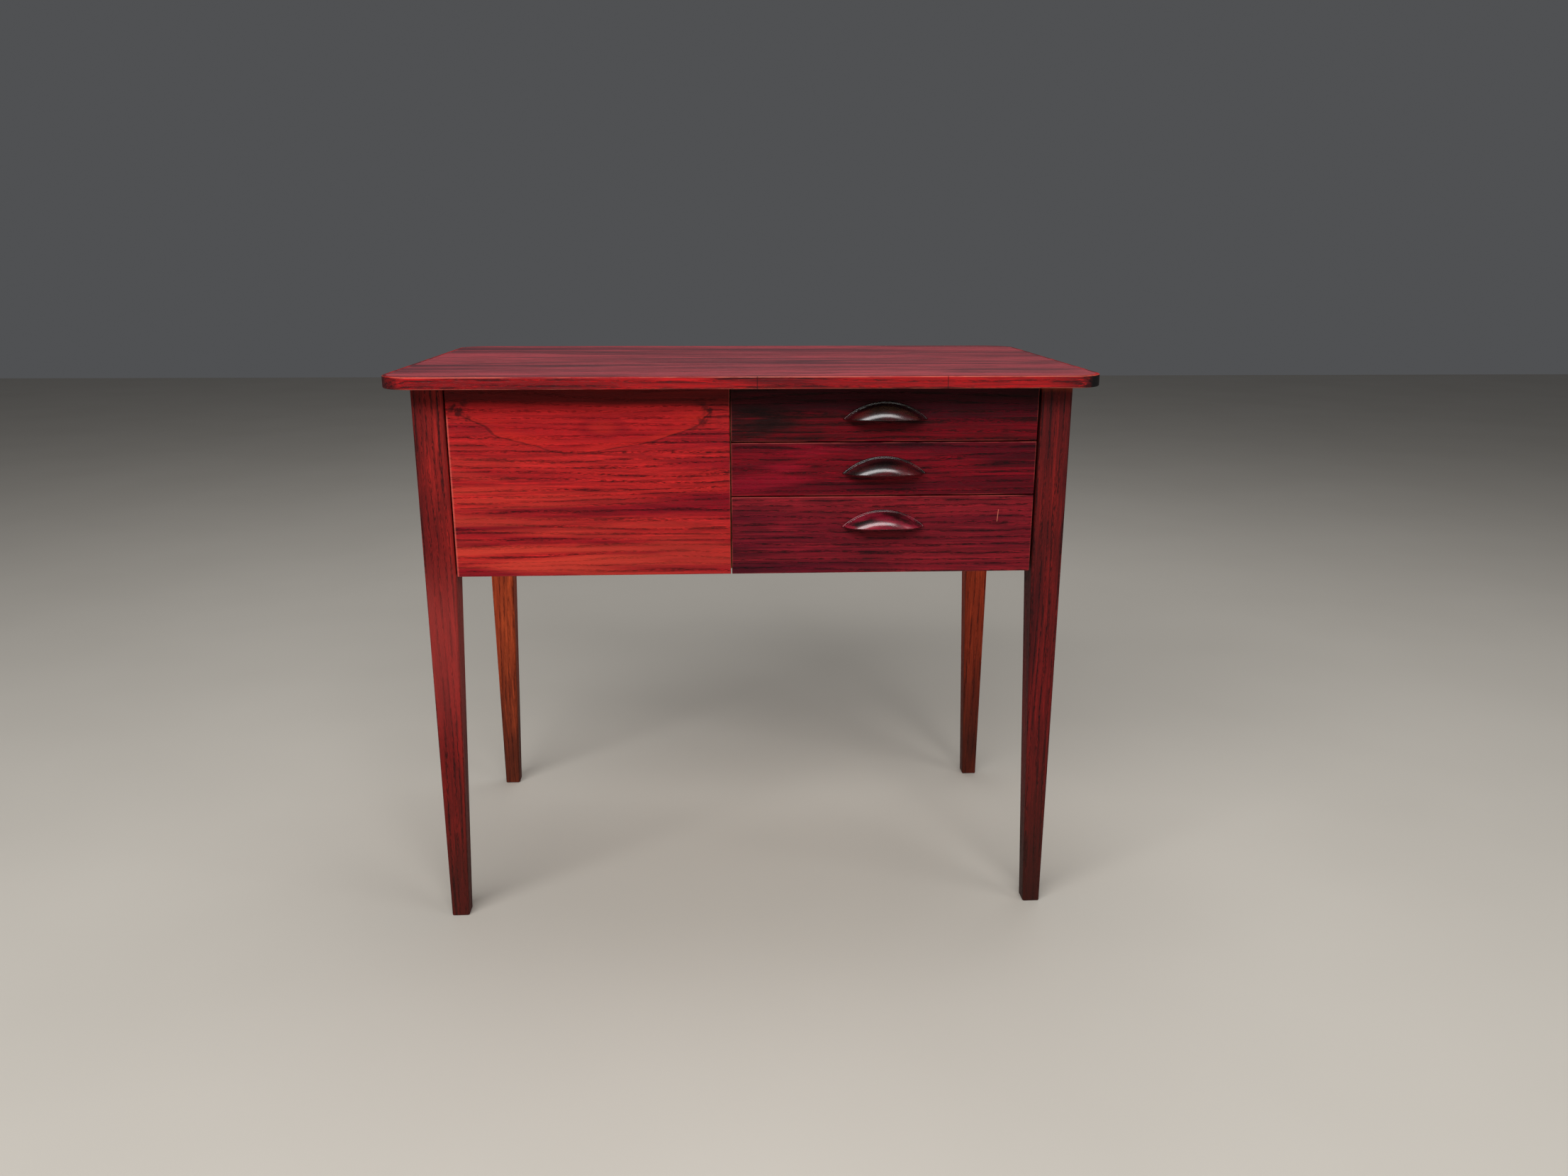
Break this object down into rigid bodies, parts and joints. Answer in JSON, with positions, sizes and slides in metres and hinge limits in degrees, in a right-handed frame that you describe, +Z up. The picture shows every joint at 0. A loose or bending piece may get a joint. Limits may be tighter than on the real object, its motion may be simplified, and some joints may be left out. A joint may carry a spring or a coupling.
{
  "type": "sewing table",
  "caption": "Small four-legged sewing table with shallow drawers on cup pulls beside one deep yarn drawer, on slim tapered legs.",
  "frame": {"origin": "on the floor, under the centre of the table top", "axes": "+Z up, the drawer fronts look along -Y, +X to the right of someone facing the fronts"},
  "size_m": [0.701, 0.417, 0.5855],
  "materials": {
    "top_veneer": "satin lacquer over red stain, long grain",
    "lipping": "satin lacquer over red stain, worn arris",
    "leg_wood": "satin lacquer over red-brown stain",
    "case_veneer": "satin lacquer over red stain",
    "front_veneer": "satin lacquer over red stain, open pores",
    "pull_wood": "gloss lacquer over dark red stain",
    "inner_wood": "bare sawn softwood",
    "runner_wood": "bare planed beech, waxed",
    "drawer_wood": "clear matt lacquer on planed beech",
    "plywood": "bare birch plywood",
    "dowel_wood": "bare beech",
    "screw_steel": "plain steel, slightly dulled"
  },
  "bodies": {
    "frame": {"top_panel": "top_veneer", "top_lipping": "lipping", "leg_front_left": "leg_wood", "leg_front_right": "leg_wood", "leg_back_left": "leg_wood", "leg_back_right": "leg_wood", "side_panel_left": "case_veneer", "side_panel_right": "case_veneer", "back_panel": "case_veneer", "side_panel_dowels": "dowel_wood", "back_panel_dowels": "dowel_wood", "partition": "inner_wood", "partition_screws": "screw_steel", "front_bottom_rails": "inner_wood", "front_top_rails": "inner_wood", "rail_dowels": "dowel_wood", "top_cleats": "inner_wood", "top_screws": "screw_steel", "cleat_screws": "screw_steel", "top_drawer_runners": "runner_wood", "middle_drawer_runners": "runner_wood", "bottom_drawer_runners": "runner_wood", "yarn_drawer_runners": "runner_wood", "runner_screws": "screw_steel"},
    "top_drawer": {"top_drawer_front": "front_veneer", "top_drawer_side_left": "drawer_wood", "top_drawer_side_right": "drawer_wood", "top_drawer_back": "drawer_wood", "top_drawer_bottom": "plywood", "top_drawer_pull": "pull_wood", "top_drawer_pull_screws": "screw_steel", "top_drawer_dividers": "drawer_wood"},
    "middle_drawer": {"middle_drawer_front": "front_veneer", "middle_drawer_side_left": "drawer_wood", "middle_drawer_side_right": "drawer_wood", "middle_drawer_back": "drawer_wood", "middle_drawer_bottom": "plywood", "middle_drawer_pull": "pull_wood", "middle_drawer_pull_screws": "screw_steel"},
    "bottom_drawer": {"bottom_drawer_front": "front_veneer", "bottom_drawer_side_left": "drawer_wood", "bottom_drawer_side_right": "drawer_wood", "bottom_drawer_back": "drawer_wood", "bottom_drawer_bottom": "plywood", "bottom_drawer_pull": "pull_wood", "bottom_drawer_pull_screws": "screw_steel"},
    "yarn_drawer": {"yarn_drawer_front": "front_veneer", "yarn_drawer_side_left": "drawer_wood", "yarn_drawer_side_right": "drawer_wood", "yarn_drawer_back": "drawer_wood", "yarn_drawer_bottom": "plywood"}
  },
  "joints": [
    {"name": "top_drawer_slide", "type": "slide", "parent": "frame", "child": "top_drawer", "axis": [0, -1, 0], "range_m": [0, 0.22]},
    {"name": "middle_drawer_slide", "type": "slide", "parent": "frame", "child": "middle_drawer", "axis": [0, -1, 0], "range_m": [0, 0.22]},
    {"name": "bottom_drawer_slide", "type": "slide", "parent": "frame", "child": "bottom_drawer", "axis": [0, -1, 0], "range_m": [0, 0.22]},
    {"name": "yarn_drawer_slide", "type": "slide", "parent": "frame", "child": "yarn_drawer", "axis": [0, -1, 0], "range_m": [0, 0.22]}
  ]
}
